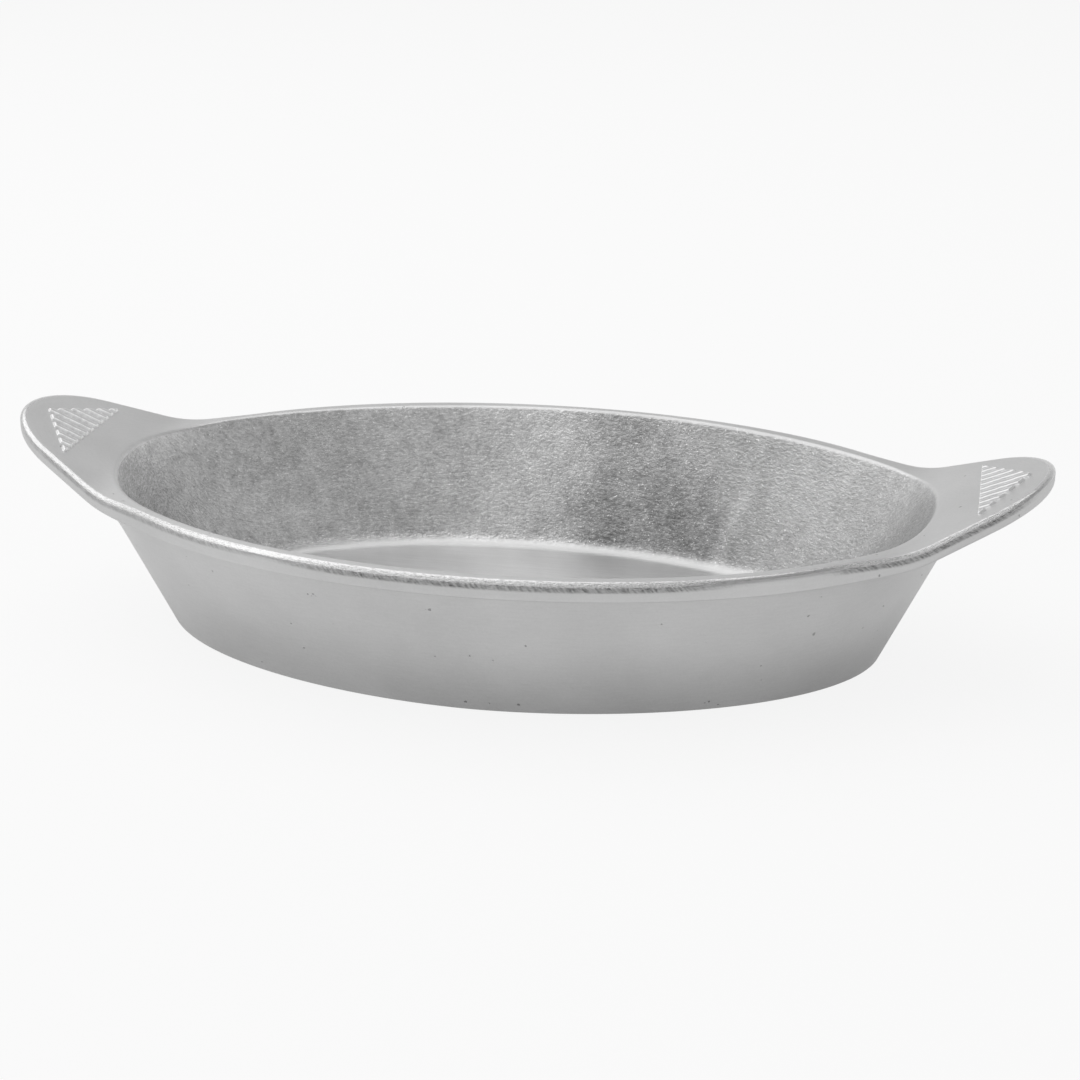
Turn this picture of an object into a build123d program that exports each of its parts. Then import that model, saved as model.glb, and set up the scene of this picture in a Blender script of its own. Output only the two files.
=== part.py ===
from build123d import *
import math
import os

os.makedirs("parts", exist_ok=True)

# A shallow oval gratin dish, cast in one piece. X runs through the two lug handles, Y across the dish,
# and Z = 0 is the table under the flat base.

# Overall sizes
rim_length = 214.4            # outer edge of the oval rim, along X
rim_width = 140.0             # outer edge of the oval rim, along Y
rim_height = 39.2             # top of the rim over the table
lug_reach = 22.8              # how far each lug reaches past the oval's end
overall_length = rim_length + 2 * lug_reach

# Wall and floor
wall_draft = 24.3             # degrees that the wall leans outwards from upright
wall_width = 5.5              # metal between the wall's outer and inner faces, measured level
floor_thickness = 3.7
floor_fillet = 5.6            # inside, where the floor turns up into the wall
base_edge_radius = 1.6

# Rim
rim_edge_depth = 4.6          # depth of the thickened edge that runs round the rim and the lugs
rim_step = 0.9                # how far that edge stands out from the wall
rim_top_radius = 1.2          # rounding of the edge's outer top corner
rim_under_radius = 1.6        # rounding of its outer bottom corner
rim_inner_radius = 1.5        # rounding round the opening
crease_radius = 4.0           # hollow rounding under the rim and the lugs, where they meet the wall

# Lug handles
lug_slope = 22.8              # degrees that each lug turns up
lug_bend_inset = 13.8         # from the oval's end in to where the rim starts to turn up
lug_bend_radius = 26.0        # of the faces through the bend
lug_tip_radius = 25.8         # rounded end, in plan
lug_side_angle = 32.0         # degrees between a lug's straight side and X, in plan
lug_root_angle = 40.6         # where a lug's side leaves the oval, as an angle on the ellipse

# Grip ribs, which fill a triangle on each lug and run along X
rib_count = 11
rib_pitch = 3.5
rib_width = 2.0
rib_height = 0.7
rib_draft = 25.0              # degrees, on the ribs' sides and ends
rib_margin = 5.5              # from the oval's end, and from the lug's tip, to the triangle
rib_half_span = 19.5          # from the middle line to the triangle's corners

# Construction
overrun = 10.0                # how far a cutting tool runs past what it cuts
overlap = 1.2                 # how far the wall runs up inside the rim edge


def wall_oval(height, inset=0.0):
    """Half length and half width of the wall's oval at a height, drawn in by an inset."""
    under_rim = rim_height - rim_edge_depth
    drawn_in = rim_step + (under_rim - height) * math.tan(math.radians(wall_draft)) + inset
    return rim_length / 2 - drawn_in, rim_width / 2 - drawn_in


# Plan outline of the rim with both lugs
tip_centre = overall_length / 2 - lug_tip_radius
tip_angle = 90 - lug_side_angle
with BuildSketch() as rim_plan:
    with BuildLine():
        tip = CenterArc((tip_centre, 0), lug_tip_radius, 0, tip_angle)
        oval = EllipticalCenterArc(
            (0, 0), rim_length / 2, rim_width / 2, lug_root_angle, arc_size=90 - lug_root_angle
        )
        Spline(tip @ 1, oval @ 0, tangents=[tip % 1, oval % 0])
        mirror(about=Plane.XZ)
        mirror(about=Plane.YZ)
    make_face()

# Side view of the rim, which turns up into the lugs
slope_rise = math.tan(math.radians(lug_slope))
bend_x = rim_length / 2 - lug_bend_inset + lug_bend_radius * math.tan(math.radians(lug_slope / 2))
past_tip = overall_length / 2 + overrun
past_tip_height = rim_height + (past_tip - bend_x) * slope_rise


def side_view(upper, lower):
    """Region between two depths under the rim's top, which both turn up with the lugs."""
    with BuildSketch(Plane.XZ) as view:
        with BuildLine():
            Polyline(
                (0, rim_height - upper),
                (bend_x, rim_height - upper),
                (past_tip, past_tip_height - upper),
                (past_tip, past_tip_height - lower),
                (bend_x, rim_height - lower),
                (0, rim_height - lower),
                close=True,
            )
        make_face()
        fillet(view.vertices().group_by(Axis.X)[1], lug_bend_radius)
        mirror(about=Plane.YZ)
    return view.sketch


# Rim and lugs as one bent plate, with its outer corners rounded
with BuildPart() as rim:
    extrude(rim_plan.sketch, amount=past_tip_height)
    extrude(side_view(0, rim_edge_depth), amount=rim_width, both=True, mode=Mode.INTERSECT)
    top_faces = rim.faces().filter_by(lambda face: face.normal_at().Z > 0.5)
    fillet(top_faces.edges().filter_by(Axis.Y, reverse=True), rim_top_radius)
    under_faces = rim.faces().filter_by(lambda face: face.normal_at().Z < -0.5)
    fillet(under_faces.edges().filter_by(Axis.Y, reverse=True), rim_under_radius)

# Space inside the dish
past_rim = rim_height + overrun
with BuildPart() as hollow:
    for height in (floor_thickness, past_rim):
        with BuildSketch(Plane.XY.offset(height)):
            Ellipse(*wall_oval(height, wall_width))
    loft(ruled=True)
    fillet(hollow.edges().group_by(Axis.Z)[0], floor_fillet)

# Grip ribs of one lug, standing on its sloping face
rib_plane = Plane(origin=(bend_x, 0, rim_height), x_dir=(1, 0, slope_rise), z_dir=(-slope_rise, 0, 1))
along_slope = math.hypot(1, slope_rise)
rib_start = (rim_length / 2 + rib_margin - bend_x) * along_slope
rib_apex = (overall_length / 2 - rib_margin - bend_x) * along_slope
with BuildPart() as ribs:
    with BuildSketch(rib_plane):
        with GridLocations(0, rib_pitch, 1, rib_count):
            Rectangle(2 * rib_apex, rib_width)
    extrude(amount=rib_height, taper=rib_draft)
    with BuildSketch(rib_plane):
        with BuildLine():
            Polyline((rib_start, -rib_half_span), (rib_apex, 0), (rib_start, rib_half_span), close=True)
        make_face()
    extrude(amount=rib_height, taper=rib_draft, mode=Mode.INTERSECT)

# The casting: wall and rim in one, hollowed out, with the ribs on its lugs
with BuildPart() as dish:
    for height in (0, past_rim):
        with BuildSketch(Plane.XY.offset(height)):
            Ellipse(*wall_oval(height))
    loft(ruled=True)
    inside_rim = side_view(rim_edge_depth - overlap, past_tip_height)
    extrude(inside_rim, amount=rim_width, both=True, mode=Mode.INTERSECT)
    fillet(dish.edges().group_by(Axis.Z)[0], base_edge_radius)
    add(rim.part)
    fillet(dish.edges(Select.NEW), crease_radius)
    add(hollow.part, mode=Mode.SUBTRACT)
    new_edges = dish.edges(Select.NEW)
    fillet(new_edges.filter_by_position(Axis.Z, rim_height - rim_edge_depth, past_rim), rim_inner_radius)
    add(ribs.part)
    mirror(ribs.part, about=Plane.YZ)

dish.part.label = "dish"
export_step(dish.part, "parts/dish.step")
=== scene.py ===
import bisect
import math

import bmesh
import bpy
from mathutils import Matrix, Vector, noise


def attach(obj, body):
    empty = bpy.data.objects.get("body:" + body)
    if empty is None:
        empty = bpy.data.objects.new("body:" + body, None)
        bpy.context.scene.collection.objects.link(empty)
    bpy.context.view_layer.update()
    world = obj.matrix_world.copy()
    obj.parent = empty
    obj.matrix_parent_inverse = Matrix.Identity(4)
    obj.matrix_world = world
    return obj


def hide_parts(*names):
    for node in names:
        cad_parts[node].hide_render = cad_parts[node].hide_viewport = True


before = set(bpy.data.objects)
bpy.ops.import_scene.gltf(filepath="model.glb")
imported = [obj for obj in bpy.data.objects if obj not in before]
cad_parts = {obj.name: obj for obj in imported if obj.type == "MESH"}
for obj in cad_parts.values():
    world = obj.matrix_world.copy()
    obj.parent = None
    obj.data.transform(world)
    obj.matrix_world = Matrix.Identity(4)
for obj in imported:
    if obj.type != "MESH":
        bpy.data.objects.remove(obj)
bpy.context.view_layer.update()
scene = bpy.context.scene
scene.view_settings.view_transform = "Standard"
mm = 0.001
rimMapSize = 100                    # mm to one unit of the map that runs along the rim

# Camera
cameraSettings = {
    "aim": (0.0, 0.0, 20.0),        # mm, the point that the angles turn about
    "distance": 605.2,
    "turn": 11.621,                 # degrees to the right of square on
    "tilt": 19.969,                 # degrees above level
    "roll": -0.266,
    "lens": 79.88,
    "sensor": 36.0,
    "shift": (0.01854, 0.01345),
    "clip": (0.01, 50),             # metres
}


def addCamera(s):
    turn, tilt, roll = (math.radians(s[name]) for name in ("turn", "tilt", "roll"))
    back = Vector((math.sin(turn) * math.cos(tilt), -math.cos(turn) * math.cos(tilt), math.sin(tilt)))
    right = Vector((math.cos(turn), math.sin(turn), 0))
    up = back.cross(right)
    rightRolled = right * math.cos(roll) - up * math.sin(roll)
    upRolled = right * math.sin(roll) + up * math.cos(roll)
    data = bpy.data.cameras.new("photoCamera")
    data.lens, data.sensor_width, data.sensor_fit = s["lens"], s["sensor"], "HORIZONTAL"
    data.shift_x, data.shift_y = s["shift"]
    data.clip_start, data.clip_end = s["clip"]
    camera = bpy.data.objects.new("photoCamera", data)
    scene.collection.objects.link(camera)
    spin = Matrix((rightRolled, upRolled, back)).transposed().to_4x4()
    place = (Vector(s["aim"]) + back * s["distance"]) * mm
    camera.matrix_world = Matrix.Translation(place) @ spin
    scene.camera = camera


addCamera(cameraSettings)
print("camera placed")


# Small helpers
seedSteps = (7.31, 3.17, 5.71)      # how far one seed's noise lies from the next one's


def ease(value, low, high):
    # 0 below low, 1 above high, and a smooth rise between them
    t = min(max((value - low) / (high - low), 0.0), 1.0)
    return t * t * (3 - 2 * t)


def wander(seed, *place):
    # smooth noise from -1 to 1, the same on every run
    return noise.noise(Vector(place) + Vector([seed * step for step in seedSteps]))


def makePiece(name, mesh, material):
    piece = bpy.data.objects.new(name, mesh)
    scene.collection.objects.link(piece)
    mesh.materials.append(material)
    for face in mesh.polygons:
        face.use_smooth = True
    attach(piece, "root")
    return piece


# Shader helpers
class Wire:
    # one socket that carries a value; sums on it add Math nodes
    def __init__(self, shader, socket):
        self.shader, self.socket = shader, socket

    def sum(self, operation, first, second):
        return self.shader.add("ShaderNodeMath", {"operation": operation}, {0: first, 1: second})

    def __add__(self, other):
        return self.sum("ADD", self, other)

    __radd__ = __add__

    def __mul__(self, other):
        return self.sum("MULTIPLY", self, other)

    __rmul__ = __mul__

    def __sub__(self, other):
        return self.sum("SUBTRACT", self, other)

    def __rsub__(self, other):
        return self.sum("SUBTRACT", other, self)


class Shader:
    def __init__(self, owner):
        owner.use_nodes = True
        self.tree = owner.node_tree
        self.tree.nodes.clear()

    def add(self, kind, settings, sockets, out=0):
        node = self.tree.nodes.new(kind)
        for name, value in settings.items():
            if name == "stops":
                while len(node.color_ramp.elements) < len(value):
                    node.color_ramp.elements.new(0.5)
                for stop, (place, grey) in zip(node.color_ramp.elements, value):
                    stop.position, stop.color = place, (grey, grey, grey, 1)
            else:
                setattr(node, name, value)
        for name, value in sockets.items():
            if isinstance(value, Wire):
                self.tree.links.new(value.socket, node.inputs[name])
            else:
                node.inputs[name].default_value = value
        return Wire(self, node.outputs[out]) if node.outputs else None

    def attribute(self, name):
        return self.add("ShaderNodeAttribute", {"attribute_name": name}, {}, "Fac")

    def axis(self, vector, which):
        # one number of a vector: 0 for X, 1 for Y, 2 for Z
        return self.add("ShaderNodeSeparateXYZ", {}, {0: vector}, which)

    def between(self, value, low, high):
        # 0 below low, 1 above high, and a smooth rise between them
        return self.add(
            "ShaderNodeMapRange",
            {"interpolation_type": "SMOOTHSTEP"},
            {"Value": value, "From Min": low, "From Max": high},
        )

    def band(self, value, starts, full, fades, ends):
        # 1 from full to fades, 0 before starts and past ends
        return self.between(value, starts, full) * (1 - self.between(value, fades, ends))

    def noise(self, vector, scale, detail, rough):
        return self.add(
            "ShaderNodeTexNoise",
            {},
            {"Vector": vector, "Scale": scale, "Detail": detail, "Roughness": rough},
        )

    def turned(self, vector, scale, rotation=(0, 0, 0)):
        return self.add("ShaderNodeMapping", {}, {"Vector": vector, "Scale": scale, "Rotation": rotation})


# Cast metal
metalSettings = {
    "grey": 0.66,
    "rough": 0.42,
    "insideRough": 0.25,
    "edgeRough": 0.26,
    "floorSmoother": 0.04,
    "filedSmoother": 0.12,
    "cloudRough": 0.1,
    # where a finish starts, is full, begins to fade and ends, in mm down from the rim's edge
    "polished": (-1.7, -0.9, 0.3, 0.9),
    "filed": (0.2, 0.6, 1.3, 2.0),
    "worked": (-1.4, -0.4, 1.2, 2.2),
    # the same, or only where one starts or fades, in mm over the table
    "bend": (3.72, 4.1, 5.2, 6.2),  # where the floor turns up into the wall
    "floorFades": (3.8, 4.3),
    "grainStarts": (4.1, 5.9),
    "footFades": (0, 24),
    "lowFades": (10, 32),
    # and in mm along the dish, from its middle
    # painted shade on a stretch of the inner wall
    "paintedShade": (-10, 14, 40, 64),    # a darker stretch of the inner wall
    "ruggedFades": (5, 60),
    "footStarts": (-60, 50),
    # painted light and shade along the inner wall: lighter between about -48 and 0 mm, darker past 25 mm
    "paintedLightStarts": (-85, -48),
    "paintedLightFades": (0, 25),
    # a pale run down the far inner wall, in mm along the dish, across it and over the table
    "mark": (39.5, 42.3, 42.3, 45.5),
    "markLean": 0.375,              # how far it leans, for each mm of height
    "markStarts": (10, 30),
    "markFades": (19, 29),
    # how strong some of them are from one end of the dish to the other
    "rugged": 1.2,
    "ruggedLoss": 0.42,
    "footShare": 0.65,
    "footGain": 0.6,
    "paintedLightLoss": 1.4,
    # brighter or darker than the plain grey
    # the polished edge lighter: partly its polish, partly a painted highlight
    "edgePolishAndHighlight": 0.1,
    "floorBrighter": 0.09,
    # painted highlight on the fillet where the floor turns up into the wall
    "bendPaintedHighlight": 0.05,
    # painted highlight along the ribs' slopes
    "ribPaintedHighlight": 0.28,
    "markBrighter": 0.3,
    "paintedLightBrighter": 0.065,
    # painted glints: bright specks in the inner wall's grain
    "paintedGlint": 0.5,
    # painted shade at the outer wall's foot
    "footPaintedShade": 0.16,
    "pitDarker": 0.25,
    # painted shade on that stretch, and more of it near the floor
    "paintedShadeDarker": 0.16,
    "paintedShadeLowDarker": 0.14,        # and this more near the floor
    # the filed strip darker: partly its filed finish, partly a painted dark reflection
    "filedFinishAndShade": 0.13,
    "hatchDarker": 0.22,
    "scratchDarker": 0.2,
    "edgeScratchDarker": 0.16,
    # how far the grey varies
    "sandGrey": 0.7,
    "clumpGrey": 0.4,
    "patchGrey": 0.5,
    "outerPatchGrey": 0.17,
    "outerGritGrey": 0.07,
    "cloudGrey": 0.06,
    "streakGrey": 0.06,
    "floorLineGrey": 0.12,
    # the part of a noise that shows as marks
    "pitCut": (0.775, 0.8),
    "paintedGlintCut": (0.62, 0.68),
    "hatchCut": (0.4, 0.62),
    "scratchCut": (0.52, 0.7),
    "edgeScratchCut": (0.48, 0.66),
    # depth of the relief, in mm
    "sandDepth": 0.24,
    "gritDepth": 0.16,
    "fineDepth": 0.02,
    "streakDepth": 0.04,
    "floorLineDepth": 0.06,
    "pitDepth": 0.3,
    "fileDepth": 0.3,
}


def castMetal(s):
    material = bpy.data.materials.new("castMetal")
    shader = Shader(material)
    place = shader.add("ShaderNodeTexCoord", {}, {}, "Object")
    rimMap = shader.add("ShaderNodeUVMap", {"uv_map": "rimMap"}, {})
    down = shader.axis(rimMap, 1) * rimMapSize
    lengthways, across, level = (shader.axis(place, which) * (1 / mm) for which in range(3))
    inside, filing, ribEdge = (shader.attribute(name) for name in ("inside", "filing", "ribEdge"))

    # where each finish lies
    polished = shader.band(down, *s["polished"])
    filed = shader.band(down, *s["filed"])
    worked = shader.band(down, *s["worked"]) * filing
    rugged = s["rugged"] - shader.between(lengthways, *s["ruggedFades"]) * s["ruggedLoss"]
    grainy = inside * inside * shader.between(level, *s["grainStarts"]) * rugged
    dishFloor = inside * (1 - shader.between(level, *s["floorFades"]))
    # painted highlight: the fillet where the floor turns up into the wall is lighter
    bend = shader.band(level, *s["bend"]) * inside
    # painted shade: the outer wall darker towards its foot, more so towards +X
    footShadeMask = (1 - shader.between(level, *s["footFades"])) * (1 - inside)
    footShadeMask = footShadeMask * (shader.between(lengthways, *s["footStarts"]) * s["footGain"] + s["footShare"])
    # painted shade: a darker stretch of the inner wall, deeper near the floor
    paintedShade = shader.band(lengthways, *s["paintedShade"])
    low = 1 - shader.between(level, *s["lowFades"])
    # painted light and shade along the inner wall: lighter between about -48 and 0 mm, darker past 25 mm
    paintedLightAndShade = shader.between(lengthways, *s["paintedLightStarts"])
    paintedLightAndShade = paintedLightAndShade - shader.between(lengthways, *s["paintedLightFades"]) * s["paintedLightLoss"]
    mark = shader.band(lengthways - level * s["markLean"], *s["mark"]) * grainy
    mark = mark * shader.between(across, *s["markStarts"]) * (1 - shader.between(level, *s["markFades"]))

    # textures, each a noise from 0 to 1
    sand = shader.noise(shader.turned(rimMap, (66, 118, 1)), scale=1.0, detail=4, rough=0.65)
    clumps = shader.noise(place, scale=260, detail=2, rough=0.6)
    grit = shader.noise(place, scale=1500, detail=3, rough=0.65)
    fine = shader.noise(place, scale=3200, detail=2, rough=0.6)
    cloud = shader.noise(place, scale=45, detail=3, rough=0.5)
    patches = shader.noise(place, scale=24, detail=3, rough=0.6)
    streak = shader.noise(shader.turned(rimMap, (14, 100, 1)), scale=1.4, detail=3, rough=0.6)
    floorLines = shader.noise(shader.turned(place, (60, 900, 60)), scale=1.0, detail=3, rough=0.6)
    scratches = shader.noise(shader.turned(rimMap, (70, 260, 1)), scale=1.0, detail=3, rough=0.65)
    slanted = shader.turned(rimMap, (1, 1, 1), rotation=(0, 0, 0.75))
    hatch = shader.noise(shader.turned(slanted, (190, 34, 1)), scale=1.0, detail=3, rough=0.65)
    pits = shader.noise(place, scale=520, detail=1, rough=0.5)
    pitted = shader.between(pits, *s["pitCut"]) * (1 - inside)

    # relief
    height = (sand - 0.5) * grainy * s["sandDepth"] + (grit - 0.5) * grainy * s["gritDepth"]
    height = height + (fine - 0.5) * s["fineDepth"] + (streak - 0.5) * s["streakDepth"]
    height = height + (floorLines - 0.5) * dishFloor * s["floorLineDepth"] - pitted * s["pitDepth"]
    height = height + (scratches - 0.5) * worked * s["fileDepth"]
    height = height + (hatch - 0.5) * filed * filing * s["fileDepth"]
    bump = shader.add("ShaderNodeBump", {}, {"Height": height, "Distance": mm, "Strength": 1.0})

    # colour
    grey = (cloud - 0.5) * s["cloudGrey"] + (streak - 0.5) * s["streakGrey"] + s["grey"]
    grey = grey - pitted * s["pitDarker"]
    edgeScratches = shader.between(scratches, *s["edgeScratchCut"]) * s["edgeScratchDarker"]
    # the polished edge lighter: partly its polish, partly a painted highlight; scratches darken it
    grey = grey + polished * (s["edgePolishAndHighlight"] - edgeScratches)
    grey = grey + (patches - 0.5) * grainy * s["patchGrey"]
    # painted shade on a stretch of the inner wall, deeper near the floor
    grey = grey - paintedShade * grainy * (low * s["paintedShadeLowDarker"] + s["paintedShadeDarker"])
    # grain clumps, and painted light and shade along the inner wall
    grey = grey + ((clumps - 0.5) * s["clumpGrey"] + paintedLightAndShade * s["paintedLightBrighter"]) * grainy
    grey = grey + (sand - 0.5) * grainy * s["sandGrey"]
    # painted highlight on the bend, and painted shade at the outer wall's foot
    grey = grey + bend * s["bendPaintedHighlight"] - footShadeMask * s["footPaintedShade"]
    # painted glints: bright specks in the inner wall's grain
    grey = grey + shader.between(grit, *s["paintedGlintCut"]) * grainy * s["paintedGlint"]
    # painted highlight along the ribs' slopes
    grey = grey + ribEdge * s["ribPaintedHighlight"]
    outer = (patches - 0.5) * s["outerPatchGrey"] + (grit - 0.5) * s["outerGritGrey"]
    grey = grey + outer * (1 - inside) + mark * sand * s["markBrighter"]
    grey = grey + dishFloor * ((floorLines - 0.5) * s["floorLineGrey"] + s["floorBrighter"])
    hatched = shader.between(hatch, *s["hatchCut"]) * s["hatchDarker"]
    # the filed strip darker: partly its filed finish, partly a painted dark reflection; hatch and scratch
    # marks darker still
    grey = grey - filed * filing * (hatched + s["filedFinishAndShade"])
    grey = grey - shader.between(scratches, *s["scratchCut"]) * worked * filed * s["scratchDarker"]
    colour = shader.add("ShaderNodeCombineColor", {}, {0: grey, 1: grey, 2: grey})

    # roughness
    rough = s["rough"] + (s["insideRough"] - s["rough"]) * grainy + (cloud - 0.5) * s["cloudRough"]
    rough = rough - dishFloor * s["floorSmoother"] - filed * filing * s["filedSmoother"]
    rough = rough - polished * (s["rough"] - s["edgeRough"])
    metal = shader.add(
        "ShaderNodeBsdfPrincipled",
        {},
        {"Base Color": colour, "Metallic": 1.0, "Roughness": rough, "Normal": bump},
    )
    shader.add("ShaderNodeOutputMaterial", {}, {"Surface": metal})
    return material


metal = castMetal(metalSettings)

# Dish
dish = {
    "rimLength": 214.4,
    "rimWidth": 140.0,
    "rimHeight": 39.2,
    "lugReach": 22.8,
    "wallDraft": 24.3,
    "wallWidth": 5.5,
    "floorThickness": 3.7,
    "floorFillet": 5.6,
    "baseRadius": 1.6,
    "edgeDepth": 4.6,
    "rimStep": 0.9,
    "underRadius": 1.6,
    "edgeLeg": 1.4,                 # how far the edge's top rounding runs down its face
    "landLeg": 1.8,                 # and in over its top
    "openingRadius": 1.5,
    "coveRadius": 12.0,             # hollow where the lugs' roots meet the wall
    "creaseRadius": 0.8,            # the same under the rim between them
    "coveGrows": (62, 92),          # from the one to the other, along the dish
    "coveMost": 0.5,                # share of the rim's underside that the hollow may take
    "underMost": 0.45,              # and the share for the edge's lower rounding
    "fullEnds": 0.8,                # how far the wall's top stands out under the lugs
    "fullEndsPower": 5,             # more keeps that nearer to the dish's ends
    # hand work, as stretches of the edge round the dish: degrees round it, reach to either side, legs
    # of the edge's top rounding where they aren't the plain ones, and how strongly the marks show
    "filedNear": {"angle": 275, "reach": 34, "edgeLeg": 2.2, "landLeg": 1.5, "strength": 1},
    "filedLug": {"angle": 335, "reach": 18, "edgeLeg": 2.1, "landLeg": 2.2, "strength": 1},
    "filedLeft": {"angle": 216, "reach": 32, "strength": 0.6},
    "filedFull": 0.55,              # share of a stretch's reach that is filed in full
    "footRoundness": 1.87,          # 2 is a true oval, less draws the foot in between its ends and sides
    "bluntEnds": 1.0,               # how far the opening's ends are drawn in
    "bluntReach": 24,               # degrees from an end to where the opening stands out most
    "bluntFade": 46,                # and to where it is an oval again
    "bluntSwing": 1.8,              # from drawn in to standing out, as a share of bluntEnds
    "openingWave": 0.6,             # how far the opening's edge wanders at the back
    "waves": 5,
    "waveTurn": 40,
    "waveStarts": (0.1, 0.5),       # towards the back, as the sine of the angle round the dish
    "floorBulge": 2.4,              # how far the floor reaches out past its oval at the back left
    "bulgeAngle": 125,
    "lugSlope": 22.8,
    "bendInset": 13.8,
    "bendRadius": 26.0,
    "tipRadius": 25.8,
    "sideAngle": 32.0,
    "rootAngle": 40.6,
    "around": 480,                  # points round each ring
    # rings of the skin: shares of the way over the base and the floor, and steps in each stretch between
    "baseShares": (0.12, 0.35, 0.6, 0.8, 0.92),
    "floorShares": (0.07, 0.16, 0.27, 0.4, 0.54, 0.68, 0.81, 0.92),
    "steps": {
        "baseRounding": 5,
        "wall": 14,
        "cove": 6,
        "under": 10,
        "underRounding": 5,
        "face": 4,
        "edgeRounding": 8,
        "land": 16,
        "opening": 6,
        "inside": 16,
        "fillet": 8,
    },
    "centreDown": -60.0,            # how far down the rim map has the floor's middle
}
halfLength, halfWidth = dish["rimLength"] / 2, dish["rimWidth"] / 2
slope = math.tan(math.radians(dish["lugSlope"]))
lean = math.tan(math.radians(dish["wallDraft"]))
bendStart = halfLength - dish["bendInset"]
bendCorner = bendStart + dish["bendRadius"] * math.tan(math.radians(dish["lugSlope"] / 2))
bendEnd = bendCorner + (bendCorner - bendStart) * math.cos(math.radians(dish["lugSlope"]))
underRim = dish["rimHeight"] - dish["edgeDepth"]
rootAngle = math.radians(dish["rootAngle"])


def wallOval(height, inset=0.0):
    # half length and half width of the wall at a height
    drawnIn = dish["rimStep"] + (underRim - height) * lean + inset
    return halfLength - drawnIn, halfWidth - drawnIn


def lift(x):
    # how far the rim has turned up into the lug
    x = abs(x)
    if x <= bendStart:
        return 0.0
    if x < bendEnd:
        return dish["bendRadius"] - math.sqrt(dish["bendRadius"] ** 2 - (x - bendStart) ** 2)
    return (x - bendCorner) * slope


def lugSideLine(count=160):
    # one lug's outline from its tip to where it leaves the oval, with the distance run so far
    radius = dish["tipRadius"]
    centre = halfLength + dish["lugReach"] - radius
    turn = math.radians(90 - dish["sideAngle"])
    line = []
    for i in range(count):
        a = turn * i / count
        line.append(Vector((centre + radius * math.cos(a), radius * math.sin(a))))
    # from the rounded tip a smooth curve runs to the oval
    start = Vector((centre + radius * math.cos(turn), radius * math.sin(turn)))
    end = Vector((halfLength * math.cos(rootAngle), halfWidth * math.sin(rootAngle)))
    leave = Vector((-math.sin(turn), math.cos(turn)))
    arrive = Vector((-dish["rimLength"] * math.sin(rootAngle), dish["rimWidth"] * math.cos(rootAngle)))
    arrive.normalize()
    reach = (end - start).length
    for i in range(count + 1):
        t = i / count
        line.append(
            start * (2 * t**3 - 3 * t**2 + 1)
            + leave * reach * (t**3 - 2 * t**2 + t)
            + end * (3 * t**2 - 2 * t**3)
            + arrive * reach * (t**3 - t**2)
        )
    run = [0.0]
    for a, b in zip(line, line[1:]):
        run.append(run[-1] + (b - a).length)
    return line, run


lugLine, lugRun = lugSideLine()
# points lie as far apart on the lug's outline, where it meets the oval, as on the oval
rootSpeed = math.hypot(halfLength * math.sin(rootAngle), halfWidth * math.cos(rootAngle))
lugCube = (rootSpeed * rootAngle - lugRun[-1]) / 2


def rimOutline(angle):
    # the rim's outer edge in plan, lugs included
    c, s = math.cos(angle), math.sin(angle)
    quarter = math.atan2(abs(s), abs(c))
    if quarter >= rootAngle:
        return Vector((halfLength * c, halfWidth * s))
    t = quarter / rootAngle
    distance = min((lugRun[-1] - lugCube) * t + lugCube * t**3, lugRun[-1])
    i = min(max(bisect.bisect_left(lugRun, distance), 1), len(lugRun) - 1)
    share = (distance - lugRun[i - 1]) / (lugRun[i] - lugRun[i - 1])
    point = lugLine[i - 1].lerp(lugLine[i], share)
    return Vector((math.copysign(point.x, c), math.copysign(point.y, s)))


def wallPoint(angle, height, inset=0.0):
    a, b = wallOval(height, inset)
    return Vector((a * math.cos(angle), b * math.sin(angle), height))


def footPoint(angle):
    # the base's edge, a little less round than an oval
    a, b = wallOval(0)
    c, s = math.cos(angle), math.sin(angle)
    power = 2 / dish["footRoundness"]
    return Vector((math.copysign(a * abs(c) ** power, c), math.copysign(b * abs(s) ** power, s), 0))


def filedShare(stretch, angle):
    # 1 along the middle of a filed stretch, 0 past its reach
    away = abs((math.degrees(angle) - stretch["angle"] + 180) % 360 - 180)
    return 1 - ease(away, stretch["reach"] * dish["filedFull"], stretch["reach"])


def filedAmount(angle):
    # how strongly the marks of filing show
    stretches = (dish["filedNear"], dish["filedLug"], dish["filedLeft"])
    return max(filedShare(stretch, angle) * stretch["strength"] for stretch in stretches)


def edgeLegs(angle):
    # the top rounding's legs, down the edge face and over the land
    legs = []
    for name in ("edgeLeg", "landLeg"):
        leg = dish[name]
        for stretch in (dish["filedNear"], dish["filedLug"]):
            leg += filedShare(stretch, angle) * (stretch[name] - dish[name])
        legs.append(leg)
    return legs


def openingDrift(angle):
    # the opening's ends are blunter than an oval's, and its edge at the back isn't quite true
    turn = math.degrees(angle) % 180
    fromEnd = min(turn, 180 - turn)
    blunt = dish["bluntEnds"] * (dish["bluntSwing"] * ease(fromEnd, 0, dish["bluntReach"]) - 1)
    blunt *= 1 - ease(fromEnd, dish["bluntReach"], dish["bluntFade"])
    wave = dish["openingWave"] * math.cos(dish["waves"] * angle - math.radians(dish["waveTurn"]))
    wave *= ease(math.sin(angle), *dish["waveStarts"])
    return blunt + wave


def wallTop(angle, height, inset=0.0, rounds=24):
    # where the wall meets a sheet that lies at this height and turns up with the lugs; each round
    # brings it closer
    z = height
    for _ in range(rounds):
        z = height + lift(wallOval(z, inset)[0] * math.cos(angle))
    return wallPoint(angle, z, inset)


def straight(start, stop, steps):
    # points on a line, without its two ends
    return [start.lerp(stop, i / steps) for i in range(1, steps)]


def spread(low, high, steps):
    # the same for numbers
    return [low + (high - low) * i / steps for i in range(1, steps)]


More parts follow.
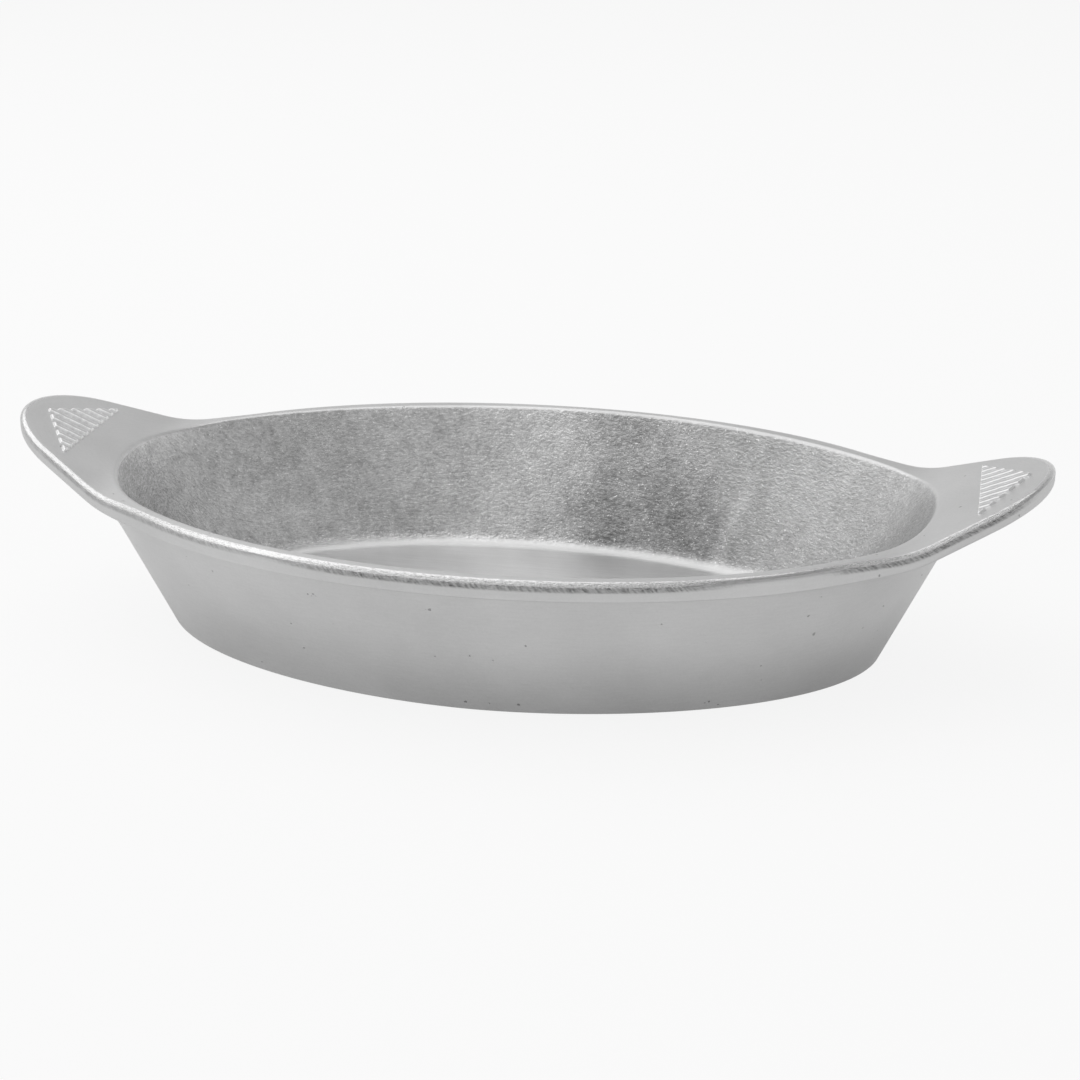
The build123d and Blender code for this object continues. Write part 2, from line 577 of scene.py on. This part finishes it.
def rounded(before, corner, after, steps):
    # points round a corner, from one leg's end to the other's, close to a circle's arc
    turn = (corner - before).angle(after - corner)
    k = 4 / 3 * math.tan(turn / 4) / math.tan(turn / 2)
    first, second = before.lerp(corner, k), after.lerp(corner, k)
    points = []
    for i in range(steps + 1):
        t = i / steps
        u = 1 - t
        points.append(before * u**3 + first * 3 * u * u * t + second * 3 * u * t * t + after * t**3)
    return points


def section(angle):
    # the dish's skin at one angle, from the middle of the base out over the rim to the middle of the
    # floor, as (point, how far it counts as inside), and which of them is the middle of the edge
    steps = dish["steps"]
    edge = rimOutline(angle)
    base = footPoint(angle)
    standsOut = dish["fullEnds"] * math.cos(angle) ** dish["fullEndsPower"]
    crease = wallTop(angle, underRim) + Vector((standsOut, 0, 0))
    opening = wallTop(angle, dish["rimHeight"], dish["wallWidth"] - openingDrift(angle))
    bulge = dish["floorBulge"] * max(math.cos(angle - math.radians(dish["bulgeAngle"])), 0) ** 2
    floor = wallPoint(angle, dish["floorThickness"], dish["wallWidth"] - bulge)
    low = Vector((edge.x, edge.y, underRim + lift(edge.x)))
    top = Vector((edge.x, edge.y, dish["rimHeight"] + lift(edge.x)))
    out = (edge - crease.xy).length
    land = (edge - opening.xy).length
    legShare = math.tan(math.radians(90 - dish["wallDraft"]) / 2)
    wallUp, wallDown = (crease - base).normalized(), (floor - opening).normalized()
    faceUp = Vector((0, 0, 1))
    skin = []

    def add(points, inside=0):
        skin.extend((point, inside) for point in points)

    def under(share):
        # a point on the rim's underside
        spot = crease.lerp(low, share)
        return Vector((spot.x, spot.y, underRim + lift(spot.x)))

    def over(share):
        # a point on the rim's top
        spot = top.lerp(opening, share)
        return Vector((spot.x, spot.y, dish["rimHeight"] + lift(spot.x)))

    # base and outer wall
    leg = dish["baseRadius"] * legShare
    wallStart = base + wallUp * leg
    add(base * share for share in dish["baseShares"])
    add(rounded(base * (1 - leg / base.length), base, wallStart, steps["baseRounding"]))
    underLug = ease(abs(crease.x), *dish["coveGrows"])
    coveRadius = dish["creaseRadius"] + (dish["coveRadius"] - dish["creaseRadius"]) * underLug
    coveLeg = coveRadius * legShare
    wallEnd = crease - wallUp * coveLeg
    add(straight(wallStart, wallEnd, steps["wall"]))

    # out under the rim and up its edge
    coveShare = min(coveLeg, out * dish["coveMost"]) / out
    lowLeg = min(dish["underRadius"], out * dish["underMost"])
    edgeLeg, topLeg = edgeLegs(angle)
    faceStart, faceEnd = low + faceUp * lowLeg, top - faceUp * edgeLeg
    add(rounded(wallEnd, crease, under(coveShare), steps["cove"]))
    add(under(share) for share in spread(coveShare, 1 - lowLeg / out, steps["under"]))
    add(rounded(under(1 - lowLeg / out), low, faceStart, steps["underRounding"]))
    add(straight(faceStart, faceEnd, steps["face"]))
    add(rounded(faceEnd, top, over(topLeg / land), steps["edgeRounding"]))
    middle = len(skin) - 1 - steps["edgeRounding"] // 2

    # over the rim's top and into the opening
    innerLeg = dish["openingRadius"] * legShare
    insideStart = opening + wallDown * innerLeg
    add(over(share) for share in spread(topLeg / land, 1 - innerLeg / land, steps["land"]))
    turned = rounded(over(1 - innerLeg / land), opening, insideStart, steps["opening"])
    skin.extend((point, i / steps["opening"]) for i, point in enumerate(turned))

    # inner wall and floor
    filletLeg = dish["floorFillet"] * legShare
    insideEnd = floor - wallDown * filletLeg
    flat = Vector((floor.x, floor.y, 0))
    toFloor = floor - flat * (filletLeg / flat.length)
    reach = Vector((toFloor.x, toFloor.y, 0))
    add(straight(insideStart, insideEnd, steps["inside"]), inside=1)
    add(rounded(insideEnd, floor, toFloor, steps["fillet"]), inside=1)
    add((toFloor - reach * share for share in dish["floorShares"]), inside=1)
    return skin, middle


def extrudeRing(mesh, ring):
    # the points of the next ring, made from the edges of this one
    count = len(ring)
    edges = [mesh.edges.get((ring[i], ring[(i + 1) % count])) for i in range(count)]
    made = bmesh.ops.extrude_edge_only(mesh, edges=edges)["geom"]
    return [g for g in made if isinstance(g, bmesh.types.BMVert)]


def buildDish():
    mesh = bmesh.new()
    turn = mesh.verts.layers.int.new("turn")
    inside = mesh.verts.layers.float.new("inside")
    filing = mesh.verts.layers.float.new("filing")
    count = dish["around"]
    angles = [math.pi / 2 + 2 * math.pi * i / count for i in range(count)]   # the seam is at the back
    sections, middles = zip(*(section(angle) for angle in angles))
    along = [0.0]
    for i in range(count):
        step = rimOutline(angles[(i + 1) % count]) - rimOutline(angles[i])
        along.append(along[-1] + step.length)

    # a disc for the base, and one ring after another out of its border
    bmesh.ops.create_circle(mesh, cap_ends=True, cap_tris=True, segments=count, radius=1)
    ring = [v for v in mesh.verts if v.co.length > 0.5]
    ring.sort(key=lambda v: (math.atan2(v.co.y, v.co.x) - math.pi / 2 + 1e-6) % (2 * math.pi))
    for i, vert in enumerate(ring):
        vert[turn] = i
    rings = [ring]
    for _ in range(1, len(sections[0])):
        rings.append(sorted(extrudeRing(mesh, rings[-1]), key=lambda v: v[turn]))
    down = {}
    for i in range(count):
        run = 0.0
        runs = []
        for k, (point, share) in enumerate(sections[i]):
            if k:
                run += (point - sections[i][k - 1][0]).length
            runs.append(run)
            rings[k][i].co = point * mm
            rings[k][i][inside] = share
            rings[k][i][filing] = filedAmount(angles[i])
        for k in range(len(runs)):
            down[rings[k][i]] = runs[middles[i]] - runs[k]
    # the floor's last ring closes on its middle
    middle = Vector((0, 0, dish["floorThickness"] * mm))
    bmesh.ops.pointmerge(mesh, verts=extrudeRing(mesh, rings[-1]), merge_co=middle)
    # a map in mm: along the rim, and down from its edge
    rimMap = mesh.loops.layers.uv.new("rimMap")
    for face in mesh.faces:
        turns = [loop.vert[turn] for loop in face.loops]
        wraps = 0 in turns and count - 1 in turns
        for loop in face.loops:
            i = loop.vert[turn]
            u = along[count] if wraps and i == 0 else along[i]
            loop[rimMap].uv = (u / rimMapSize, down.get(loop.vert, dish["centreDown"]) / rimMapSize)
    bmesh.ops.recalc_face_normals(mesh, faces=mesh.faces[:])
    data = bpy.data.meshes.new("dishBody")
    mesh.to_mesh(data)
    mesh.free()
    piece = makePiece("dishBody", data, metal)
    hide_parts("dish")
    return piece


dishBody = buildDish()
print("dish body made:", len(dishBody.data.vertices), "points")

# Grip ribs
ribs = {
    "count": 11,
    "pitch": 3.5,
    "width": 2.0,
    "height": 0.7,
    "margin": 5.5,                  # from the oval's end, and from the lug's tip
    "halfSpan": 19.5,
    "flare": 0.15,                  # how far a rib's foot spreads
    "flareRises": 0.8,              # share of that which already rises
    "softness": 0.4,                # from foot to full height, measured level
    "shortest": 1.2,                # a rib shorter than this is left out
    "ragged": 0.07,                 # how far a rib's outline wanders
    "meanHeight": 0.93,             # as a share of the height
    "unevenness": 0.12,             # the same for how far that varies
    # where the painted highlight lies along a rib's slope
    "edgeStarts": (-0.12, 0.04),    # the bright edge along a rib's slope, in from its outline
    "edgeFades": (0.3, 0.6),
    "dip": 0.03,                    # how deep a rib's outline lies under the lug's face
    "sunk": 0.4,                    # and how far down its underside does
    "cell": 0.12,                   # of the grid, across a rib
    "cellStretch": 1.3,             # and how much longer it is along the rib
    "fewestCells": (6, 8),          # along and across a rib
    "down": -20.0,                  # where the rim map has the ribs, clear of the polished edge
}


def ribField(side):
    # one lug's ribs, each a raised grid whose border dips under the lug's face
    mesh = bmesh.new()
    ribEdge = mesh.verts.layers.float.new("ribEdge")
    uphill = math.cos(math.radians(dish["lugSlope"]))
    start = (halfLength + ribs["margin"] - bendCorner) / uphill
    apex = (halfLength + dish["lugReach"] - ribs["margin"] - bendCorner) / uphill
    run = Vector((uphill, 0, math.sin(math.radians(dish["lugSlope"]))))
    up = Vector((-run.z, 0, run.x))
    origin = Vector((bendCorner, 0, dish["rimHeight"]))
    skew = (apex - start) / ribs["halfSpan"]
    square = 1 / math.hypot(1, skew)
    half = ribs["width"] / 2 + ribs["flare"]
    near = start - ribs["flare"]
    slopeStart = -ribs["flare"] * ribs["flareRises"]
    fewestCols, fewestRows = ribs["fewestCells"]
    rows = max(int(2 * half / ribs["cell"]), fewestRows)
    for k in range(ribs["count"]):
        middle = (k - (ribs["count"] - 1) / 2) * ribs["pitch"]
        far = apex - skew * max(abs(middle) - half, 0) + ribs["flare"]
        if far - near < ribs["shortest"]:
            continue
        cols = max(int((far - near) / ribs["cell"] / ribs["cellStretch"]), fewestCols)
        made = bmesh.ops.create_grid(mesh, x_segments=cols, y_segments=rows, size=0.5)["verts"]
        for vert in made:
            s = near + (vert.co.x + 0.5) * (far - near)
            y = middle + vert.co.y * 2 * half
            # how far in from the rib's outline this point lies
            toSide = ribs["width"] / 2 - abs(y - middle)
            toEnd = (apex - skew * abs(y) - s) * square
            inner = min(toSide, toEnd, s - start)
            inner += ribs["ragged"] * wander(3, s * 1.1, y * 1.4, k)
            tall = ribs["height"] * ease(inner, slopeStart, ribs["softness"] + slopeStart)
            tall *= ribs["meanHeight"] + ribs["unevenness"] * wander(5, s * 0.5, y * 0.3, k)
            # painted highlight along the rib's slope
            vert[ribEdge] = ease(inner, *ribs["edgeStarts"]) * (1 - ease(inner, *ribs["edgeFades"]))
            vert.co = (origin + run * s + up * (tall - ribs["dip"]) + Vector((0, y, 0))) * mm
        border = [e for e in mesh.edges if e.is_boundary and e.verts[0] in made]
        sunk = bmesh.ops.extrude_edge_only(mesh, edges=border)["geom"]
        sunkVerts = [g for g in sunk if isinstance(g, bmesh.types.BMVert)]
        bmesh.ops.translate(mesh, verts=sunkVerts, vec=-up * ribs["sunk"] * mm)
        sunkEdges = [g for g in sunk if isinstance(g, bmesh.types.BMEdge) and g.is_boundary]
        bmesh.ops.contextual_create(mesh, geom=sunkEdges)
    if side < 0:
        bmesh.ops.scale(mesh, vec=(-1, 1, 1), verts=mesh.verts[:])
    bmesh.ops.recalc_face_normals(mesh, faces=mesh.faces[:])
    rimMap = mesh.loops.layers.uv.new("rimMap")
    for face in mesh.faces:
        for loop in face.loops:
            loop[rimMap].uv = (loop.vert.co.x / mm / rimMapSize, ribs["down"] / rimMapSize)
    name = "gripRibsRight" if side > 0 else "gripRibsLeft"
    data = bpy.data.meshes.new(name)
    mesh.to_mesh(data)
    mesh.free()
    return makePiece(name, data, metal)


for side in (1, -1):
    ribField(side)
print("grip ribs made")

# Floor, backdrop and light
studio = {
    "floorReach": 12,               # metres, to each side
    "floorWhite": 0.9,
    "floorShown": 0.86,             # share of plain white that the camera sees in the floor
    "floorMirrored": 0.44,          # the same share, as the metal sees it
    "softboxHeight": 0.95,
    "softboxSize": (1.8, 1.3),
    "softboxPlace": (-0.42, 0.1),
    "softboxWatts": 6.9,
    # how bright the room is, as (how high, level), behind the dish and before it; the metal sees the
    # softbox and the room above it added together
    "roomBehind": [(0.0, 0.9), (0.2, 0.77), (0.36, 0.62), (0.6, 0.5), (0.85, 0.32)],
    "roomBefore": [(0.0, 0.6), (0.15, 0.42), (0.45, 0.42), (0.7, 0.42), (0.85, 0.32)],
    "roomTurns": (-0.75, 0.15),     # from the one level to the other, as the Y of a direction
}


def addFloor(s):
    mesh = bmesh.new()
    bmesh.ops.create_grid(mesh, x_segments=1, y_segments=1, size=s["floorReach"])
    data = bpy.data.meshes.new("studioFloor")
    mesh.to_mesh(data)
    mesh.free()
    floor = bpy.data.objects.new("studioFloor", data)
    scene.collection.objects.link(floor)
    material = bpy.data.materials.new("whiteFloor")
    shader = Shader(material)
    seen = shader.add("ShaderNodeLightPath", {}, {}, "Is Camera Ray")
    mirrored = shader.add("ShaderNodeLightPath", {}, {}, "Is Glossy Ray")
    through = shader.add("ShaderNodeLightPath", {}, {}, "Is Transmission Ray")
    share = seen * s["floorShown"] + (mirrored + through) * s["floorMirrored"]
    white = s["floorWhite"]
    lit = shader.add("ShaderNodeBsdfDiffuse", {}, {"Color": (white, white, white, 1)})
    plain = shader.add("ShaderNodeEmission", {}, {"Color": (1, 1, 1, 1), "Strength": 1.0})
    mixed = shader.add("ShaderNodeMixShader", {}, {0: share, 1: lit, 2: plain})
    shader.add("ShaderNodeOutputMaterial", {}, {"Surface": mixed})
    data.materials.append(material)


def addWorld(s):
    world = bpy.data.worlds.new("studio")
    scene.world = world
    shader = Shader(world)
    seen = shader.add("ShaderNodeLightPath", {}, {}, "Is Camera Ray")
    direction = shader.add("ShaderNodeTexCoord", {}, {}, "Generated")
    height, depth = shader.axis(direction, 2), shader.axis(direction, 1)
    behind = shader.add("ShaderNodeValToRGB", {"stops": s["roomBehind"]}, {"Fac": height})
    before = shader.add("ShaderNodeValToRGB", {"stops": s["roomBefore"]}, {"Fac": height})
    back = shader.between(depth, *s["roomTurns"])
    # sockets 6 and 7 are a Mix node's two colours, and 2 is the colour that it gives
    room = shader.add("ShaderNodeMix", {"data_type": "RGBA"}, {0: back, 6: before, 7: behind}, 2)
    colour = shader.add("ShaderNodeMix", {"data_type": "RGBA"}, {0: seen, 6: room, 7: (1, 1, 1, 1)}, 2)
    light = shader.add("ShaderNodeBackground", {}, {"Color": colour, "Strength": 1.0})
    shader.add("ShaderNodeOutputWorld", {}, {"Surface": light})


def addSoftbox(s):
    data = bpy.data.lights.new("softbox", "AREA")
    data.shape = "RECTANGLE"
    data.size, data.size_y = s["softboxSize"]
    data.energy = s["softboxWatts"]
    lamp = bpy.data.objects.new("softbox", data)
    lamp.location = (*s["softboxPlace"], s["softboxHeight"])
    scene.collection.objects.link(lamp)
    toDish = -lamp.location
    lamp.rotation_euler = toDish.to_track_quat("-Z", "Y").to_euler()


addFloor(studio)
addWorld(studio)
addSoftbox(studio)
print("studio set")
